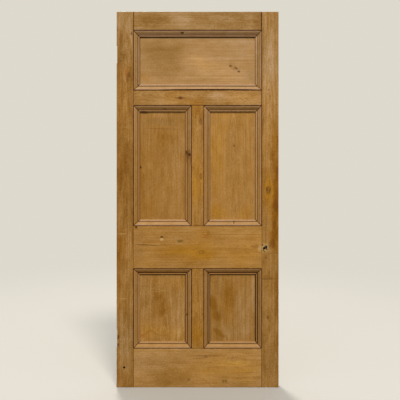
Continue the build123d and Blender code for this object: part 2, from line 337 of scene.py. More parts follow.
class Recipe:
    """A finish in the making: each method adds a node and hands back its output, so it reads as a sum."""

    FACTOR, FIRST, SECOND, MIXED = 0, 6, 7, 2

    def __init__(self, block):
        """Takes a new material or world and empties it."""
        block.use_nodes = True
        self.block = block
        self.tree = block.node_tree
        self.tree.nodes.clear()

    def feed(self, value, socket):
        """Links another node's output, or sets a plain number or colour."""
        if isinstance(value, bpy.types.NodeSocket):
            self.tree.links.new(value, socket)
        else:
            socket.default_value = value

    def node(self, kind, *values, sockets=None, **settings):
        """A node with its settings and its sockets fed, the first in order and others by name or number."""
        made = self.tree.nodes.new("ShaderNode" + kind)
        for name, value in settings.items():
            setattr(made, name, value)
        for key, value in [*enumerate(values), *(sockets or {}).items()]:
            self.feed(value, made.inputs[key])
        return made

    def math(self, operation, *values):
        return self.node("Math", *values, operation=operation).outputs[0]

    def add(self, *values):
        total = values[0]
        for value in values[1:]:
            total = self.math("ADD", total, value)
        return total

    def less(self, first, second):
        return self.math("SUBTRACT", first, second)

    def times(self, first, second):
        return self.math("MULTIPLY", first, second)

    def apart(self, first, second):
        """How far one number is from another."""
        return self.math("ABSOLUTE", self.less(first, second))

    def vector(self, operation, first, second):
        return self.node("VectorMath", first, second, operation=operation).outputs["Vector"]

    def finer(self, vector, fineness, moved=(0, 0, 0)):
        """A place times a fineness, which may have one value for each axis, and then moved along."""
        scale = fineness if isinstance(fineness, tuple) else (fineness, fineness, fineness)
        scaled = self.vector("MULTIPLY", vector, scale)
        return self.vector("ADD", scaled, moved) if any(moved) else scaled

    def length(self, vector):
        return self.node("VectorMath", vector, operation="LENGTH").outputs["Value"]

    def join(self, first, second, third):
        return self.node("CombineXYZ", first, second, third).outputs[0]

    def split(self, vector):
        return tuple(self.node("SeparateXYZ", vector).outputs)

    def place(self):
        return self.node("TexCoord").outputs["Object"]

    def attribute(self, name):
        return self.node("Attribute", attribute_name=name).outputs["Fac"]

    def noise(self, vector, detail=2, roughness=0.5):
        sockets = {"Scale": 1, "Detail": detail, "Roughness": roughness}
        return self.node("TexNoise", vector, sockets=sockets).outputs["Fac"]

    def sway(self, vector, amount, detail=2):
        """Noise about nought, from -amount / 2 to amount / 2."""
        return self.times(self.less(self.noise(vector, detail), 0.5), amount)

    def adrift(self, place, across, upward, detail=2):
        """The place swayed along X and along Z, each given as its fineness and its amount."""
        aside, up = (self.sway(self.finer(place, fine), amount, detail) for fine, amount in (across, upward))
        return self.vector("ADD", place, self.join(aside, 0, up))

    def fade(self, value, start, end, low=0.0, high=1.0):
        """low at start, high at end, with a smooth step between, whichever of the two is larger."""
        return self.node("MapRange", value, start, end, low, high, interpolation_type="SMOOTHSTEP").outputs[0]

    def blend(self, amount, first, second):
        """The first colour where the amount is 0, and the second where it is 1."""
        sockets = {self.FACTOR: amount, self.FIRST: first, self.SECOND: second}
        return self.node("Mix", sockets=sockets, data_type="RGBA").outputs[self.MIXED]

    def about(self, vector, x, z, wide, high, turn=0):
        """Distance from a point on the face: 1 on an ellipse of those half sizes in mm, turned by degrees."""
        made = self.node(
            "Mapping", vector, (x * MM, 0, z * MM), (0, math.radians(turn), 0), (wide * MM, 1, high * MM),
            vector_type="TEXTURE")
        return self.length(made.outputs["Vector"])

    def tinted(self, warmth, level, greyed, waxed):
        """Greyed wood blended with waxed wood by the warmth, times a tint for a level of 1 or so.

        The tint is the level in red, and its powers GREEN_SWING and BLUE_SWING in green and blue, because
        blue moves most and red least from pale to dark wood.
        """
        level = self.math("MAXIMUM", level, DARKEST)
        green = self.math("POWER", level, GREEN_SWING)
        blue = self.math("POWER", level, BLUE_SWING)
        return self.vector("MULTIPLY", self.blend(warmth, greyed, waxed), self.join(level, green, blue))

    def line(self, off, width, strength, colour):
        """Old wax and painted shade along a line: amber to twice the width, and dark in its middle. off is in
        metres.
        """
        for start, end, most, wax in ((2.1, 1.2, 0.85, AMBER_WAX_AND_SHADE), (1.25, 0.75, 0.95, OLD_WAX_AND_SHADE)):
            held = self.fade(off, start * width * MM, end * width * MM, 0, most)
            colour = self.blend(self.times(held, strength), colour, wax)
        return colour

    def stained(self, colour, marks, place, ragged, outer, inner, front):
        """The colour under marks that end at outer and are whole from inner. Large ones have ragged edges."""
        for kind, x, z, wide, high, strength, *turn in marks:
            edged = place if min(wide, high) < SMALL_MARK else ragged
            held = self.fade(self.about(edged, x, z, wide, high, *turn), outer, inner, 0, strength)
            colour = self.blend(self.times(held, front), colour, STAINS[kind])
        return colour

    def finish(self, colour, mottle, height):
        """Shader and output: a colour, a mottle for the roughness, and a height in metres for the bump."""
        relief = self.node("Bump", sockets={"Strength": BUMP, "Distance": 1.0, "Height": height})
        shader = self.node("BsdfPrincipled", sockets={
            "Base Color": colour,
            "Roughness": self.add(0.4, self.times(mottle, 0.2)),
            "Normal": relief.outputs["Normal"],
            "IOR": 1.45,
            "Specular IOR Level": 0.1,
        })
        self.node("OutputMaterial", shader.outputs["BSDF"])
        return self.block

    def seen(self):
        """1 for the camera's own view, mirrored or through glass too, and 0 for all other light."""
        rays = self.node("LightPath").outputs
        mirrored = self.math("MAXIMUM", rays["Is Camera Ray"], rays["Is Glossy Ray"])
        return self.math("MAXIMUM", mirrored, rays["Is Transmission Ray"])


# Colours of old stripped pine under wax, as seen
GREYED = srgb(165, 128, 80)
WAXED = srgb(159, 107, 26)
KNOT_HEART = srgb(84, 48, 12)
KNOT_RIM = srgb(56, 30, 12)
# Old wax with painted shade, for the dark lines in joints, quirks and mitres and the painted shadow in gaps
OLD_WAX_AND_SHADE = srgb(50, 22, 2)
AMBER_WAX_AND_SHADE = srgb(98, 52, 4)
STICK_GREYED = srgb(166, 128, 82)
STICK_WAXED = srgb(158, 108, 36)
# A dark colour painted inside holes as shade
PAINTED_HOLE_SHADE = srgb(18, 10, 5)
GREEN_SWING = 1.42
BLUE_SWING = 3.0
DARKEST = 0.05
BUMP = 0.6

STAINS = {
    "dark": srgb(66, 36, 12),
    "grey": srgb(104, 82, 34),
    "orange": srgb(160, 88, 12),
    "pale": srgb(197, 160, 102),
    "brown": srgb(112, 66, 20),
    "golden": srgb(134, 88, 16),
}
SMALL_MARK = 8

# How far each kind of figure lightens and darkens the wood, clouds warm it and late wood darkens it
SWINGS = {"lines": 0.6, "streak": 0.42, "fibre": 0.4, "speck": 0.6, "cloud": 0.5, "mottle": 0.6}
STICK_SWINGS = {"streak": 0.5, "fibre": 0.25, "mottle": 0.4}
WARM_CLOUDS = 0.55
LATE = 0.12
FRONT_FADE = 2 * MM

# Widths of the old wax and painted shade on a stick, in millimetres
QUIRK_WAX_AND_SHADE = 1.6
JOINT_WAX_AND_SHADE = 2.2
MITRE_WAX_AND_SHADE = 1.9

# Annual rings and their pith, which lies behind the board and bends, in metres
RING_PITCH = 3.6 * MM
PITH_DEPTH = 0.034
PITH_BEND = 0.034

# Knots are longer along the grain, which they push aside
KNOT_STRETCH = 1.6
KNOT_PUSH = 0.9


def pine(name, grain, seed, middle=0.0, heart=0, lean=0.03, warm=0.5, light=1.0, contrast=1.0, patches=(),
         knots=(), marks=(), joints=(), holes=()):
    """Old pine under wax.

    The rings are circles about a pith that lies behind the board and leans along it, so they come out as
    arches near the heart and as lines beside it. Streaks and lines are noise drawn out along the grain, some
    of it on the rings, and knots push the grain aside. All else stands at an x and a z on the leaf, in mm:
    patches with half sizes, how much lighter and how much warmer, knots with a size and how dark heart and
    rim are, marks with a stain, half sizes and a strength, and holes with a radius. Patches and marks may add
    a turn in degrees. Joints are an axis, a place in metres, a width in mm, a strength and maybe two heights.
    """
    wood = Recipe(bpy.data.materials.new(name))
    place = wood.place()
    x, y, z = wood.split(place)
    across, along = (x, z) if grain == "upright" else (z, x)
    board = wood.join(across, y, along)
    shift = seed * 0.731
    front = wood.fade(y, FRONT_FADE, -FRONT_FADE)

    # The grain's course wanders over 30 mm and over 6 mm, and knots push it aside
    slow = wood.finer(board, (3, 3, 1), (shift, 0, shift))
    quick = wood.finer(board, (9, 3, 7), (0, shift, 0))
    course = wood.add(across, wood.sway(slow, 0.03, 1), wood.sway(quick, 0.006, 1))
    knot_discs = []
    for knot_x, knot_z, size, heart_depth, rim_depth in knots:
        long_size = KNOT_STRETCH * size
        stretch = (size, long_size) if grain == "upright" else (long_size, size)
        wobble = wood.sway(wood.finer(place, 120.0), 0.9 * size * MM)
        wobbled = wood.vector("ADD", place, wood.join(wobble, 0, wobble))
        distance = wood.about(wobbled, knot_x, knot_z, *stretch)
        centre = (knot_x if grain == "upright" else knot_z) * MM
        push = wood.math("EXPONENT", wood.times(wood.times(distance, distance), -0.16))
        course = wood.less(course, wood.times(wood.times(wood.less(course, centre), push), KNOT_PUSH))
        knot_discs.append((distance, heart_depth, rim_depth))

    # Annual rings
    bow = wood.finer(wood.join(course, 0, along), (5, 1, 2.2), (0, shift, 0))
    pith = wood.add(y, PITH_DEPTH, wood.times(wood.less(along, middle), lean), wood.sway(bow, PITH_BEND, 1))
    beside = wood.less(course, heart * MM)
    radius = wood.math("SQRT", wood.add(wood.times(beside, beside), wood.times(pith, pith)))
    ring = wood.math("FRACT", wood.times(radius, 1 / RING_PITCH))
    late = wood.times(wood.fade(ring, 0.2, 0.85), wood.fade(ring, 1.0, 0.9))

    # Figures: noise on the rings, and noise that is finer across and through the grain than along it
    drawn = wood.join(wood.add(course, shift), y, along)
    figures = {
        "lines": wood.noise(wood.join(wood.times(radius, 170.0), wood.times(along, 3.0), shift), 3, 0.6),
        "streak": wood.noise(wood.finer(drawn, (100, 100, 1.6)), 3, 0.6),
        "fibre": wood.noise(wood.finer(drawn, (850, 850, 14)), 2, 0.6),
        "speck": wood.noise(wood.finer(drawn, (130, 130, 110)), 2, 0.6),
        "cloud": wood.noise(wood.finer(drawn, (8, 8, 3), (0, 0, shift)), 3, 0.5),
        "mottle": wood.noise(wood.finer(drawn, (30, 30, 14), (shift, 0, 0)), 3, 0.6),
    }
    warmth = wood.add(warm - 0.5 * WARM_CLOUDS, wood.times(figures["cloud"], WARM_CLOUDS))
    level = light
    for kind, figure in figures.items():
        level = wood.add(level, wood.times(wood.less(figure, 0.5), SWINGS[kind] * contrast))
    level = wood.add(level, wood.times(late, -LATE * contrast))

    # Broad patches where the wax, the wear or the wood itself is lighter or warmer
    drifted = wood.adrift(place, (14.0, 0.06), (11.0, 0.08), 4)
    both = wood.add(wood.times(figures["lines"], 0.5), wood.times(figures["streak"], 0.5))
    torn = wood.times(front, wood.fade(both, 0.2, 0.8, 0.35, 1.65))
    for patch_x, patch_z, wide, high, lighter, warmer, *turn in patches:
        distance = wood.about(drifted, patch_x, patch_z, wide, high, *turn)
        amount = wood.times(wood.fade(distance, 1.5, 0.2), torn)
        level = wood.add(level, wood.times(amount, lighter))
        warmth = wood.add(warmth, wood.times(amount, warmer))
    colour = wood.tinted(warmth, level, GREYED, WAXED)

    # Knots, marks, joints and holes
    relief = ((figures["fibre"], 0.12), (late, 0.08), (figures["streak"], 0.2))
    height = wood.add(*(wood.times(figure, rise * MM) for figure, rise in relief))
    for distance, heart_depth, rim_depth in knot_discs:
        halo = wood.fade(distance, 2.2, 0.9, 0, 0.5 * max(heart_depth, rim_depth))
        rim = wood.times(wood.fade(distance, 1.35, 1.0), wood.fade(distance, 0.6, 0.95))
        colour = wood.blend(halo, colour, STAINS["brown"])
        colour = wood.blend(wood.fade(distance, 1.0, 0.35, 0, heart_depth), colour, KNOT_HEART)
        colour = wood.blend(wood.times(rim, rim_depth), colour, KNOT_RIM)
        height = wood.add(height, wood.fade(distance, 1.3, 0.7, 0, -0.3 * MM * heart_depth))
    ragged = wood.adrift(place, (90.0, 0.008), (130.0, 0.008))
    colour = wood.stained(colour, marks, place, ragged, 1.35, 0.5, front)
    # Dark lines along the joints: old wax, and painted shade in the open joints and beside the mouldings
    broken = wood.fade(wood.noise(wood.finer(place, 45.0)), 0.25, 0.6, 0.45, 1.0)
    for axis, line, width, strength, *span in joints:
        off = wood.apart(x if axis == "x" else z, line)
        there = wood.times(broken, strength)
        if span:
            half_span = (span[1] - span[0]) / 2
            middle_off = wood.apart(z, (span[0] + span[1]) / 2)
            there = wood.times(there, wood.fade(middle_off, half_span + 2 * MM, half_span - 2 * MM))
        colour = wood.line(off, width, there, colour)
    # Holes painted dark inside, as shade
    for hole_x, hole_z, hole_radius in holes:
        distance = wood.about(place, hole_x, hole_z, hole_radius, hole_radius)
        colour = wood.blend(wood.fade(distance, 1.25, 1.02), colour, PAINTED_HOLE_SHADE)

    # End grain is darker
    facing = wood.split(wood.node("TexCoord").outputs["Normal"])[2 if grain == "upright" else 0]
    end = wood.fade(wood.apart(facing, 0), 0.6, 0.9, 0, 0.55)
    return wood.finish(wood.blend(end, colour, STAINS["brown"]), figures["mottle"], height)


def stick_finish(name, grain, marks=(), gaps=()):
    """The mouldings' finish: pine with old wax in the quirk, under the toe, along the joint and in mitres.

    It reads the sticks' own values: inwards and mitre in mm, how much old wax and painted shade each stick
    has, and how much lighter it is, partly as painted light. Its old wax is partly painted shade. Marks are
    as in pine, and gaps are places with half sizes in mm, painted dark as shadow.
    """
    wood = Recipe(bpy.data.materials.new(name))
    place = wood.place()
    x, y, z = wood.split(place)
    drawn = place if grain == "upright" else wood.join(z, y, x)
    figures = {
        "streak": wood.noise(wood.finer(drawn, (140, 140, 3)), 3, 0.6),
        "fibre": wood.noise(wood.finer(drawn, (700, 700, 16)), 2, 0.6),
        "mottle": wood.noise(wood.finer(place, 30.0), 3, 0.6),
    }
    inwards = wood.attribute("inwards")
    dirt = wood.attribute("dirt")
    tone = wood.attribute("tone")
    level = wood.add(1.0, tone)
    for kind, figure in figures.items():
        level = wood.add(level, wood.times(wood.less(figure, 0.5), STICK_SWINGS[kind]))
    front = wood.fade(y, FRONT_FADE, -FRONT_FADE)

    # Greyer high on the door, and where a stick is much lighter or darker than the rest, partly as painted
    # light
    warmth = wood.add(wood.fade(z, 2.0, 1.2, -0.05, 0.5), wood.times(figures["streak"], 0.3))
    warmth = wood.add(warmth, wood.times(wood.apart(tone, 0), -3.0))

    # Paler on the crest, and on the bead of sticks with less painted shade, where the stick stands proud:
    # worn paler and a painted highlight
    bead_rubbed_and_lit = wood.add(wood.times(dirt, -0.2), 0.4)
    for middle, reach, paler, warmer in (
        (CREST_MIDDLE, 3.0, 0.32, -0.2),
        (BEAD_MIDDLE, 3.5, bead_rubbed_and_lit, 0.1),
    ):
        rubbed_and_lit = wood.fade(wood.apart(inwards, middle), reach, 0.3 * reach)
        level = wood.add(level, wood.times(rubbed_and_lit, paler))
        warmth = wood.add(warmth, wood.times(rubbed_and_lit, warmer))
    colour = wood.tinted(warmth, level, STICK_GREYED, STICK_WAXED)

    # Old wax and painted shade: in millimetres from the quirk's middle, the toe, the joint with the frame and
    # the mitre
    broken = wood.fade(figures["mottle"], 0.2, 0.55, 0.6, 1.0)
    held = wood.math("MINIMUM", wood.times(dirt, broken), 1.0)
    spread = wood.math("DIVIDE", MM, wood.add(wood.times(dirt, 0.45), 0.65))
    for off, width, strength, scale in (
        (wood.apart(inwards, QUIRK_MIDDLE), QUIRK_WAX_AND_SHADE, held, spread),
        (wood.apart(inwards, MOULD_WIDTH - QUIRK_WAX_AND_SHADE), QUIRK_WAX_AND_SHADE, wood.times(held, held), spread),
        (wood.apart(inwards, 0), JOINT_WAX_AND_SHADE, broken, MM),
        (wood.attribute("mitre"), MITRE_WAX_AND_SHADE, wood.times(broken, 0.75), MM),
    ):
        colour = wood.line(wood.times(off, scale), width, strength, colour)
    # Painted shadow in the gaps beside a stick
    for gap in gaps:
        inside = wood.fade(wood.about(place, *gap), 1.1, 0.9)
        colour = wood.blend(wood.times(inside, front), colour, OLD_WAX_AND_SHADE)
    colour = wood.stained(colour, marks, place, place, 1.2, 0.4, front)
    height = wood.add(wood.times(figures["fibre"], 0.1 * MM), wood.times(figures["streak"], 0.2 * MM))
    return wood.finish(colour, figures["mottle"], height)


# Members: the CAD solid's joinery inside a worn board

def cad_copy(node):
    """The node's own solid as one joined mesh."""
    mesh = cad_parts[node].data.copy()
    turn_outwards(mesh, merge=1e-6)
    return mesh


def block_rings(low, high):
    """A plain block between two corners: one rectangle at its foot and one at its head."""
    x = np.array([low[0], high[0], high[0], low[0]])
    y = np.array([low[1], low[1], high[1], high[1]])
    return np.stack([np.stack([x, y, np.full(4, z)], axis=1) for z in (low[2], high[2])])


def boring_rings(mouth, direction):
    """A screw's tapered boring: circles from just outside the mouth, narrowing almost to a point."""
    direction = np.array(direction, dtype=float)
    first = np.cross(direction, (0.3, 0.5, 0.8))
    first /= np.linalg.norm(first)
    second = np.cross(direction, first)
    turn = np.linspace(0, 2 * np.pi, 16, endpoint=False)
    circle = np.cos(turn)[:, None] * first + np.sin(turn)[:, None] * second
    reach = np.array([-0.5 * MM, 0.4 * SCREW_DEPTH, SCREW_DEPTH])
    width = SCREW_RADIUS * np.array([1.0, 0.8, 0.15])
    return np.array(mouth) + width[:, None, None] * circle + reach[:, None, None] * direction


def shaped(mesh, operation, other):
    """The first solid joined with, cut by or cut down to the second, as a new mesh."""
    work = bpy.data.objects.new("work", mesh)
    tool = bpy.data.objects.new("tool", other)
    for piece in (work, tool):
        bpy.context.scene.collection.objects.link(piece)
    cut = work.modifiers.new("cut", "BOOLEAN")
    cut.operation = operation
    cut.solver = "EXACT"
    cut.object = tool
    result = bpy.data.meshes.new_from_object(work.evaluated_get(bpy.context.evaluated_depsgraph_get()))
    for piece in (work, tool):
        bpy.data.objects.remove(piece)
    return result


def member_mesh(node, grain, shoulders, arrises, borings, seed):
    """A frame member: what its CAD solid and a worn board have in common.

    The CAD solid gives the grooves, mortices, recesses and tenons, and the worn board the hollow faces and
    eased arrises between the shoulders. A plain block past each shoulder lets the tenons through.
    """
    low, high = (np.array(corner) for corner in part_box(node))
    along = 2 if grain == "upright" else 0
    face_low, face_high = low.copy(), high.copy()
    face_low[along], face_high[along] = shoulders
    skin = closed_mesh("skin", board_rings(face_low, face_high, grain, arrises, seed))
    for end, shoulder, outside in ((low, shoulders[0], -1), (high, shoulders[1], 1)):
        if abs(end[along] - shoulder) > MM:
            corners = np.stack([low - MM, high + MM])
            corners[:, 1] = -TONGUE_HALF, TONGUE_HALF
            corners[:, along] = sorted([shoulder - outside * MM, end[along] + outside * MM])
            skin = shaped(skin, "UNION", closed_mesh("block", block_rings(*corners)))
    solid = shaped(cad_copy(node), "INTERSECT", skin)
    for boring in borings:
        solid = shaped(solid, "DIFFERENCE", closed_mesh("boring", boring_rings(*boring)))
    turn_outwards(solid, slits=True)
    smooth(solid)
    return solid


# Screw holes of the hinges and of the spindle's rose
SCREW_RADIUS = 1.6 * MM
SCREW_DEPTH = 9 * MM
HINGE_FLOOR = -0.454
HINGE_LINE = -0.004
HINGE_SCREWS = [0.240, 0.275, 0.310, 1.844, 1.879, 1.914]
ROSE_SCREWS = [(0.365, 0.804), (0.371, 0.775), (0.387, 0.779), (0.378, 0.767)]
hinge_borings = [((HINGE_FLOOR, HINGE_LINE, z), (1, 0, 0)) for z in HINGE_SCREWS]
rose_borings = [((x, LEAF_LOW[1], z), (0, 1, 0)) for x, z in ROSE_SCREWS]

BETWEEN_STILES = (HANGING_EDGE, LOCK_EDGE)
WHOLE_LEAF = (LEAF_LOW[2], LEAF_HIGH[2])
INSIDE = (JOINT_ARRIS,) * 3

# Each member: grain, shoulders, arrises (low edge, high edge, ends) and screw borings
MEMBERS = {
    "hanging_stile": ("upright", WHOLE_LEAF, (LEAF_ARRIS, JOINT_ARRIS, LEAF_ARRIS), hinge_borings),
    "lock_stile": ("upright", WHOLE_LEAF, (JOINT_ARRIS, LEAF_ARRIS, LEAF_ARRIS), rose_borings),
    "top_rail": ("level", BETWEEN_STILES, (JOINT_ARRIS, LEAF_ARRIS, JOINT_ARRIS), []),
    "frieze_rail": ("level", BETWEEN_STILES, INSIDE, []),
    "lock_rail": ("level", BETWEEN_STILES, INSIDE, []),
    "bottom_rail": ("level", BETWEEN_STILES, (LEAF_ARRIS, JOINT_ARRIS, JOINT_ARRIS), []),
    "middle_muntin": ("upright", MIDDLE_BAND, INSIDE, []),
    "lower_muntin": ("upright", LOWER_BAND, INSIDE, []),
}


def stile_joints(edge, *rail_lines):
    """The dark lines along a stile: beside mouldings, and by each rail with a width and a strength."""
    bands = [(1.5, 0.9, *band) for band in (TOP_BAND, MIDDLE_BAND, LOWER_BAND)]
    rails = [(*line, *RAIL_SPANS[rail]) for line, rail in zip(rail_lines, RAILS)]
    return [("x", edge, *line) for line in bands + rails]


# How each member and panel looks, in pine's own terms
SPINDLE = [(384, 791, 8), (375, 784.6, 6)]
LOOKS = {}
LOOKS["hanging_stile"] = dict(
    seed=3, heart=-410, warm=0.4, light=0.89,
    patches=[
        (-410, 2050, 60, 80, -0.01, -0.6),
        (-410, 1900, 60, 80, -0.07, -0.35),
        (-385, 1770, 20, 40, -0.15, 0.05),
        (-410, 1560, 60, 170, 0.02, 0.15),
        (-410, 1180, 60, 200, -0.12, 0.1),
        (-440, 1300, 20, 250, -0.04, 0.1),
        (-370, 1100, 14, 90, -0.12, -0.05),
        (-385, 790, 25, 110, 0.12, 0),
        (-437, 780, 14, 110, -0.06, 0.3),
        (-410, 790, 50, 110, -0.03, 0.1),
        (-445, 560, 12, 120, -0.12, 0.2),
        (-405, 250, 50, 170, 0.05, -0.35),
        (-448, 180, 10, 170, -0.1, 0.1),
    ],
    knots=[(-388, 1763, 8, 0.5, 0.3), (-373, 1997, 4, 0.8, 0.4)],
    marks=[
        ("orange", -408, 1780, 12, 22, 0.35),
        ("brown", -396, 1735, 7, 16, 0.5),
        ("dark", -435, 1842, 4, 6, 0.6),
        ("dark", -447, 285, 5, 14, 0.75),
        ("dark", -449, 240, 5, 12, 0.75),
        ("pale", -400, 1469, 28, 2, 0.3),
        ("pale", -425, 866, 28, 2.4, 0.6),
        ("pale", -420, 500, 26, 2.4, 0.5),
        ("brown", -400, 1000, 5, 8, 0.5),
    ],
    joints=stile_joints(HANGING_EDGE, (1.0, 0.75), (0.8, 0.6), (0.6, 0.5), (0.5, 0.4)),
    holes=[(-414, 113, 5.6)],
)
LOOKS["lock_stile"] = dict(
    seed=5, heart=405, warm=0.47, light=0.96,
    patches=[
        (445, 2080, 25, 50, -0.12, -0.1),
        (410, 1890, 60, 230, 0.13, -0.36),
        (410, 1600, 60, 130, 0.2, 0.1),
        (400, 1380, 50, 130, 0.22, 0.15),
        (442, 1350, 20, 150, -0.1, 0.35),
        (444, 1060, 20, 190, -0.26, 0.6),
        (388, 1120, 25, 130, 0.08, 0.35),
        (418, 1090, 26, 170, 0.07, 0.32),
        (436, 850, 24, 90, -0.2, 0.5),
        (396, 617, 40, 14, -0.12, 0),
        (450, 550, 14, 180, -0.18, 0.2),
        (405, 400, 50, 130, -0.02, -0.1),
        (405, 150, 50, 130, -0.07, -0.25),
        (452, 200, 10, 170, -0.12, 0.1),
    ],
    knots=[(399, 1113, 11, 0.35, 0.45), (397, 395, 5, 0.6, 0.35)],
    marks=[
        ("dark", 401, 1680, 4, 5, 0.6),
        ("dark", 396, 1655, 4, 4, 0.5),
        ("dark", 408, 1643, 4, 4, 0.55),
        ("dark", 392, 1118, 3, 14, 0.6, -28),
        ("dark", 408, 1112, 3, 12, 0.6, 24),
        ("brown", 449, 1227, 7, 26, 0.7),
        ("brown", 443, 1030, 12, 40, 0.6),
        ("brown", 432, 917, 10, 24, 0.6),
        ("brown", 425, 815, 14, 30, 0.5),
        ("pale", 378, 788, 26, 27, 0.55),
        ("brown", 408, 800, 8, 18, 0.5),
        ("dark", 420, 758, 30, 1.6, 0.5, -8),
        ("dark", 398, 612, 40, 2.2, 0.75, -2),
        ("dark", 404, 640, 3, 26, 0.4),
        ("dark", 366, 804, 5, 5, 0.85),
        ("dark", 371, 774, 5, 5, 0.75),
        ("dark", 390, 780, 6, 5, 0.75),
        ("dark", 378, 766, 5, 4, 0.7),
        ("brown", 358, 768, 8, 3, 0.6, 35),
        ("dark", 387, 732, 5, 4, 0.55),
    ],
    joints=stile_joints(LOCK_EDGE, (1.6, 0.9), (1.2, 0.8), (0.3, 0.3), (0.5, 0.6)),
    holes=SPINDLE,
)
LOOKS["top_rail"] = dict(
    seed=7, heart=2080, warm=-0.1, light=0.94, contrast=0.9,
    patches=[
        (-270, 2070, 90, 50, -0.14, 0),
        (-90, 2070, 70, 50, 0.14, -0.05),
        (150, 2075, 130, 45, -0.08, -0.1),
        (340, 2070, 30, 60, -0.2, -0.05),
    ],
    joints=[("x", HANGING_EDGE, 2.2, 0.95), ("x", LOCK_EDGE, 3.6, 0.97), ("z", TOP_BAND[1], 2.2, 0.9)],
)
LOOKS["frieze_rail"] = dict(
    seed=9, heart=1650, lean=-0.1, warm=0.45, light=1.08,
    patches=[
        (-300, 1634, 70, 50, -0.1, -0.05),
        (-120, 1634, 90, 50, 0.02, 0.15),
        (0, 1605, 50, 40, -0.06, 0.3),
        (110, 1650, 60, 26, 0.17, -0.1),
        (260, 1634, 110, 40, 0.14, 0.12),
    ],
    knots=[(-97, 1633, 6, 0.95, 0.7)],
    marks=[
        ("brown", -97, 1633, 34, 3.5, 0.75),
        ("brown", 250, 1626, 22, 1.8, 0.6, 34),
        ("brown", 266, 1612, 18, 1.8, 0.5, -38),
        ("brown", 282, 1624, 18, 1.8, 0.5, 30),
    ],
    joints=[
        ("x", HANGING_EDGE, 1.5, 0.9), ("x", LOCK_EDGE, 1.8, 0.9),
        ("z", TOP_BAND[0], 2.6, 0.95), ("z", MIDDLE_BAND[1], 2.2, 0.9),
    ],
)
LOOKS["lock_rail"] = dict(
    seed=11, heart=800, lean=0.05, warm=0.66, light=1.12, contrast=0.8,
    patches=[
        (-330, 780, 40, 120, -0.14, -0.2),
        (-170, 850, 170, 60, -0.06, -0.1),
        (30, 850, 60, 50, 0.04, 0.15),
        (220, 850, 140, 50, 0.08, 0.05),
        (-60, 760, 170, 50, -0.03, 0.25),
        (30, 735, 60, 30, 0.02, 0.15),
        (250, 750, 110, 60, 0.1, 0.2),
    ],
    knots=[(24, 764, 9, 0.15, 0.35)],
    marks=[
        ("dark", -202, 849, 9, 5, 0.95),
        ("pale", -203, 835, 9, 8, 0.95),
        ("grey", -98, 826, 18, 8, 0.75),
        ("orange", 47, 858, 20, 5, 0.55, 18),
        ("brown", 47, 846, 20, 2.5, 0.45, 12),
        ("golden", 60, 872, 10, 14, 0.5),
        ("dark", -290, 804, 76, 2.2, 0.75, 2.5),
        ("brown", -170, 804, 70, 1.8, 0.45, -2),
        ("dark", -347, 904, 9, 8, 0.85),
        ("pale", 350, 786, 12, 20, 0.6),
        ("brown", 325, 795, 24, 9, 0.35),
    ],
    joints=[
        ("x", HANGING_EDGE, 1.0, 0.6), ("x", LOCK_EDGE, 0.8, 0.5),
        ("z", MIDDLE_BAND[0], 1.5, 0.6), ("z", LOWER_BAND[1], 2.0, 0.9),
    ],
    holes=SPINDLE,
)
LOOKS["bottom_rail"] = dict(
    seed=13, heart=140, lean=0.06, warm=0.58, light=1.2, contrast=0.9,
    patches=[
        (-300, 150, 130, 60, 0.02, -0.1),
        (-145, 55, 120, 60, -0.32, -0.1),
        (150, 90, 200, 80, 0.15, 0.28),
        (310, 110, 80, 110, 0.06, 0.1),
    ],
    knots=[(46, 175, 6, 0.3, 0.3), (205, 158, 10, 0.1, 0.15)],
    marks=[
        ("brown", 60, 178, 90, 3.2, 0.5),
        ("brown", 20, 166, 50, 2.6, 0.4, -4),
        ("grey", 144, 35, 7, 9, 0.7),
        ("grey", 159, 35, 7, 9, 0.7),
        ("brown", -50, 45, 8, 7, 0.6),
    ],
    joints=[("x", HANGING_EDGE, 1.3, 0.75), ("x", LOCK_EDGE, 1.5, 0.85), ("z", LOWER_BAND[0], 1.5, 0.65)],
)
LOOKS["middle_muntin"] = dict(
    seed=15, heart=5, lean=0.06, warm=0.6, light=1.02,
    patches=[
        (0, 1560, 40, 50, -0.04, 0.1),
        (0, 1400, 40, 110, 0.0, 0.02),
        (0, 1150, 40, 130, 0.03, 0.2),
        (0, 980, 40, 80, 0.05, 0.05),
    ],
    knots=[(19, 1500, 8, 0.15, 0.35), (19, 1191, 8, 0.15, 0.35)],
    joints=[
        ("x", MUNTIN_LEFT, 1.8, 0.85), ("x", MUNTIN_RIGHT, 1.8, 0.85),
        ("z", MIDDLE_BAND[0], 1.0, 0.8), ("z", MIDDLE_BAND[1], 0.6, 0.6),
    ],
)
LOOKS["lower_muntin"] = dict(
    seed=17, heart=-12, lean=0.05, warm=0.7, light=1.08,
    patches=[(0, 580, 40, 100, 0.0, -0.1), (0, 300, 40, 70, 0.06, 0.25)],
    joints=[
        ("x", MUNTIN_LEFT, 2.0, 0.9), ("x", MUNTIN_RIGHT, 2.0, 0.9),
        ("z", LOWER_BAND[0], 0.6, 0.6), ("z", LOWER_BAND[1], 0.7, 0.6),
    ],
)
LOOKS["top_panel"] = dict(
    seed=21, heart=1640, lean=0.02, warm=0.32, light=1.15, contrast=0.65,
    patches=[
        (-210, 1905, 150, 75, -0.32, -0.35),
        (-200, 1800, 130, 50, -0.18, -0.15),
        (-300, 1750, 40, 40, 0.02, 0.2),
        (-120, 1850, 60, 90, -0.06, 0),
        (0, 1845, 80, 40, 0.1, 0.1),
        (110, 1795, 220, 50, 0.18, 0.2, 24),
        (230, 1940, 130, 40, 0.0, -0.2),
        (-100, 1930, 60, 12, 0.0, 0.2),
        (310, 1760, 30, 50, -0.12, -0.15),
    ],
    marks=[
        ("brown", 210, 1806, 34, 12, 0.2, 30),
        ("brown", 187, 1819, 9, 7, 0.6),
        ("dark", 187, 1818, 5, 4, 0.6),
        ("brown", 215, 1808, 8, 7, 0.6),
        ("dark", 222, 1804, 5, 5, 0.6),
        ("dark", 234, 1787, 8, 5, 0.8),
    ],
)
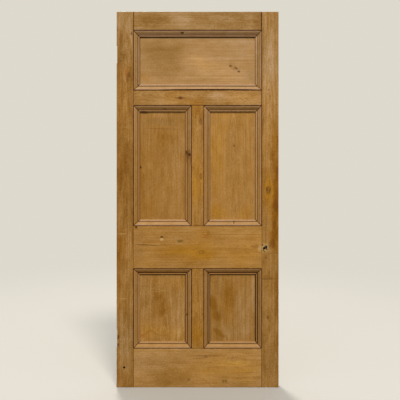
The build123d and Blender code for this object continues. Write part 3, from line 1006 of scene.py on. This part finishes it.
LOOKS["middle_left_panel"] = dict(
    seed=23, heart=-195, lean=0.09, warm=0.54, light=0.98, contrast=0.75,
    patches=[
        (-190, 1540, 120, 20, 0.08, 0.05),
        (-210, 1495, 110, 26, -0.12, -0.25),
        (-190, 1400, 60, 60, -0.08, 0.1),
        (-120, 1300, 45, 260, 0.08, -0.05),
        (-315, 1150, 14, 250, -0.08, 0.15),
        (-240, 1250, 50, 180, -0.08, -0.05),
        (-270, 1010, 45, 60, -0.04, 0.15),
        (-110, 1000, 40, 50, 0.09, 0),
    ],
    marks=[
        ("dark", -323, 1243, 6, 8, 0.85),
        ("dark", -305, 1551, 26, 4, 0.6),
        ("brown", -200, 1462, 110, 2.4, 0.4, 2),
    ],
)
LOOKS["middle_right_panel"] = dict(
    seed=25, heart=205, lean=0.04, warm=0.65, light=1.13, contrast=0.75,
    patches=[
        (190, 1540, 120, 20, 0.06, 0.1),
        (200, 1480, 90, 25, -0.05, 0.05),
        (110, 1250, 35, 250, 0.02, 0.15),
        (195, 1270, 35, 220, -0.07, -0.1),
        (280, 1250, 40, 250, 0.04, 0.05),
        (110, 985, 50, 50, 0.04, 0.25),
        (270, 985, 45, 50, 0.04, 0.2),
    ],
    marks=[("dark", 207, 1366, 5, 5, 0.7)],
)
LOOKS["lower_left_panel"] = dict(
    seed=27, heart=-190, lean=0.07, warm=0.55, light=1.06,
    patches=[
        (-200, 600, 110, 30, 0.02, 0.05),
        (-100, 590, 45, 45, 0.05, 0.15),
        (-205, 465, 42, 90, -0.2, 0.1),
        (-290, 480, 35, 120, -0.06, -0.15),
        (-110, 430, 40, 110, 0.1, -0.1),
        (-255, 310, 90, 45, 0.1, 0.2),
        (-140, 300, 70, 45, 0.08, 0.15),
    ],
    marks=[
        ("pale", -215, 548, 55, 1.8, 0.3, 8),
        ("pale", -225, 538, 50, 1.6, 0.28, -5),
        ("golden", -292, 302, 34, 6, 0.4, -30),
        ("golden", -246, 304, 30, 6, 0.35, 30),
        ("golden", -200, 290, 40, 5, 0.3, 6),
        ("orange", -315, 286, 22, 12, 0.4),
        ("pale", -105, 300, 10, 32, 0.4, 12),
    ],
)
LOOKS["lower_right_panel"] = dict(
    seed=29, heart=165, lean=0.05, warm=0.5, light=1.01, contrast=0.85,
    patches=[
        (110, 600, 40, 40, -0.06, -0.1),
        (178, 490, 42, 120, -0.16, 0.25),
        (100, 440, 26, 80, -0.1, 0.1),
        (250, 430, 60, 130, 0.02, -0.2),
        (120, 290, 35, 25, -0.05, 0.1),
        (200, 300, 90, 40, 0.02, -0.15),
        (310, 540, 18, 100, 0.08, -0.1),
    ],
    marks=[
        ("golden", 88, 470, 24, 48, 0.8, -12),
        ("golden", 108, 398, 30, 26, 0.75, 35),
        ("brown", 112, 410, 5, 34, 0.35, -14),
        ("golden", 165, 545, 12, 60, 0.35),
        ("golden", 112, 312, 30, 15, 0.75, 30),
        ("golden", 135, 288, 26, 10, 0.6, 10),
    ],
)


def show_board(node, mesh, grain, slot):
    """Shows a board's mesh in its own pine, whose pith leans about the middle of its length."""
    low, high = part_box(node)
    middle = (low.z + high.z) / 2 if grain == "upright" else (low.x + high.x) / 2
    show(node + "_board", mesh, pine("pine_" + node, grain, middle=middle, **LOOKS[node]), slot, node)


for number, (node, (grain, shoulders, arrises, borings)) in enumerate(MEMBERS.items()):
    mesh = member_mesh(node, grain, shoulders, arrises, borings, WEAR_SEED + number)
    show_board(node, mesh, grain, "frame_pine")

wedge_finish = pine("pine_wedges", "level", 19, light=0.8)
for rail in RAILS:
    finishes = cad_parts[rail + "_wedges"].data.materials
    finishes.clear()
    finishes.append(wedge_finish)

for number, node in enumerate(node for node in LOOKS if node not in MEMBERS):
    low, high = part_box(node)
    grain = "level" if node == "top_panel" else "upright"
    mesh = closed_mesh(node + "_board", board_rings(low, high, grain, (PANEL_ARRIS,) * 3, number))
    smooth(mesh)
    show_board(node, mesh, grain, "panel_pine")


# Mouldings

stick_finishes = {
    "upright": stick_finish(
        "pine_upright_sticks", "upright", [
            ("brown", -54, 1316, 20, 34, 0.6),
            ("dark", -62, 1326, 6, 14, 0.85, -20),
            ("dark", -46, 1314, 11, 9, 0.9, 20),
            ("brown", -40, 1278, 4, 30, 0.6),
            ("brown", -62, 1288, 4, 26, 0.5, 6),
            ("dark", -60, 409, 6, 9, 0.95),
        ]),
    "level": stick_finish(
        "pine_level_sticks", "level", [
            ("dark", 205, 930, 3, 13, 0.85),
            ("dark", 209, 940, 6, 2, 0.6, 20),
            ("dark", -86, 2003, 13, 6, 0.9),
            ("pale", -72, 2001, 7, 4, 0.8),
            ("dark", -308, 1558, 26, 4, 0.8),
            ("dark", -186, 1574, 14, 3, 0.7),
        ],
        # A gap along the top panel's bottom stick, painted dark as shadow
        [(68, 1679, 294, 5.5)]),
}
EAST = np.array([1.0, 0.0, 0.0])
UP = np.array([0.0, 0.0, 1.0])
DEPTH = np.array([0.0, 1.0, 0.0])

# Each opening's sticks, how much old wax and painted shade and how much lighter, partly as painted light:
# bottom, right, top, left
STICK_DIRT_SHADE_TONE_AND_LIGHT = {
    "top": ((0.1, 0.06), (0.3, -0.08), (1.3, 0.02), (0.7, -0.14)),
    "middle_left": ((0.0, 0.1), (0.6, -0.02), (1.0, 0.0), (0.7, 0.0)),
    "middle_right": ((0.0, 0.1), (0.55, 0.03), (1.0, 0.03), (0.7, 0.0)),
    "lower_left": ((0.2, 0.06), (0.9, -0.06), (1.5, -0.02), (0.35, -0.06)),
    "lower_right": ((0.3, 0.04), (1.3, -0.2), (1.45, -0.03), (1.0, -0.12)),
}
seed = WEAR_SEED
for opening, (left, low, right, high) in OPENINGS.items():
    sides = {
        "bottom": ((left, low), EAST, UP, right - left, "level"),
        "right": ((right, low), UP, -EAST, high - low, "upright"),
        "top": ((right, high), -EAST, -UP, right - left, "level"),
        "left": ((left, high), -UP, EAST, high - low, "upright"),
    }
    for face_name, face in (("front", FRONT), ("back", BACK)):
        for (side, (corner, run, inward, length, grain)), dirt_shade_tone_and_light in zip(sides.items(), STICK_DIRT_SHADE_TONE_AND_LIGHT[opening]):
            start = np.array([corner[0], face * PANEL_FACE, corner[1]])
            node = f"{face_name}_{opening}_mould_{side}"
            mesh = stick_mesh(node + "_stick", start, run, inward, face * DEPTH, length, dirt_shade_tone_and_light, seed)
            show(node + "_stick", mesh, stick_finishes[grain], "moulding_pine", node)
            seed += 1


# Studio: a pale floor that fades into a pale backdrop, soft lamps and the camera

BACKDROP = srgb(222, 217, 205)
FLOOR_SEEN = srgb(176, 172, 163)
FLOOR_BOUNCE = srgb(120, 117, 110)
FLOOR_RADIUS = 14.0
FLOOR_SIDES = 64
FADE_FROM = 1.6
FADE_TO = 5.0
SKY_LEVEL = 0.66
LEAF_MIDDLE = (0, 0, 1.06)

# Lamps: place, size, power and colour
LAMPS = {
    "key": ((3.2, -9.4, 16.0), 4.2, 2450, (1.0, 0.985, 0.96)),
    "fill": ((-2.4, -3.4, 1.4), 2.4, 15, (1, 1, 1)),
    "back": ((-3.2, 9.4, 16.0), 4.2, 2450, (1, 1, 1)),
}


def floor():
    """A round floor under the leaf: rings of points around the origin, at nought height."""
    turn = np.linspace(0, 2 * np.pi, FLOOR_SIDES, endpoint=False)
    reach = np.array([0.05, 1.0, 3.0, FADE_TO, FLOOR_RADIUS])[:, None]
    level = np.zeros((len(reach), FLOOR_SIDES))
    rings = np.stack([reach * np.cos(turn), reach * np.sin(turn), level], axis=-1)
    index, quads = ring_faces(*level.shape)
    mesh = bpy.data.meshes.new("floor")
    mesh.from_pydata(rings.reshape(-1, 3).tolist(), [], [*quads[:, ::-1].tolist(), index[0].tolist()])
    made = bpy.data.objects.new("floor", mesh)
    bpy.context.scene.collection.objects.link(made)
    paint = Recipe(bpy.data.materials.new("pale_floor"))
    camera_ray = paint.node("LightPath").outputs["Is Camera Ray"]
    matt = paint.node("BsdfDiffuse", paint.blend(camera_ray, FLOOR_BOUNCE, FLOOR_SEEN))
    far = paint.node("Emission", BACKDROP)
    faded = paint.times(paint.seen(), paint.fade(paint.length(paint.place()), FADE_FROM, FADE_TO))
    mixed = paint.node("MixShader", faded, matt.outputs[0], far.outputs[0])
    paint.node("OutputMaterial", mixed.outputs[0])
    mesh.materials.append(paint.block)


def sky():
    """Even light from all round, with the backdrop's own colour where the camera or a reflection sees it."""
    world = bpy.data.worlds.new("studio")
    bpy.context.scene.world = world
    paint = Recipe(world)
    even = paint.node("Background", (1, 1, 1, 1), SKY_LEVEL)
    wall = paint.node("Background", BACKDROP)
    mixed = paint.node("MixShader", paint.seen(), even.outputs[0], wall.outputs[0])
    paint.node("OutputWorld", mixed.outputs[0])


def aim(piece, place, target):
    """Stands a lamp or camera at a place, looking at the target."""
    piece.location = place
    back = np.array(place) - np.array(target)
    flat = math.hypot(back[0], back[1])
    piece.rotation_euler = (math.atan2(flat, back[2]), 0, math.atan2(back[0], -back[1]))
    bpy.context.scene.collection.objects.link(piece)


def lamp(name, place, size, power, colour):
    """A round soft lamp that looks at the middle of the leaf."""
    data = bpy.data.lights.new(name, "AREA")
    data.shape = "DISK"
    data.size = size
    data.energy = power
    data.color = colour
    aim(bpy.data.objects.new(name, data), place, LEAF_MIDDLE)


floor()
sky()
for name, values in LAMPS.items():
    lamp(name, *values)

# The photograph's view: 2.26 m before the leaf's face, level with its middle
VIEW_DISTANCE = 2.26
VIEW_ASIDE = 0.0135
VIEW_HEIGHT = 1.0575
SENSOR = 36.0
LENS = 36.06
camera_data = bpy.data.cameras.new("camera")
camera_data.sensor_width = SENSOR
camera_data.lens = LENS
camera = bpy.data.objects.new("camera", camera_data)
aim(camera, (VIEW_ASIDE, LEAF_LOW[1] - VIEW_DISTANCE, VIEW_HEIGHT), (VIEW_ASIDE, 0, VIEW_HEIGHT))
bpy.context.scene.camera = camera
bpy.context.scene.view_settings.view_transform = "Standard"
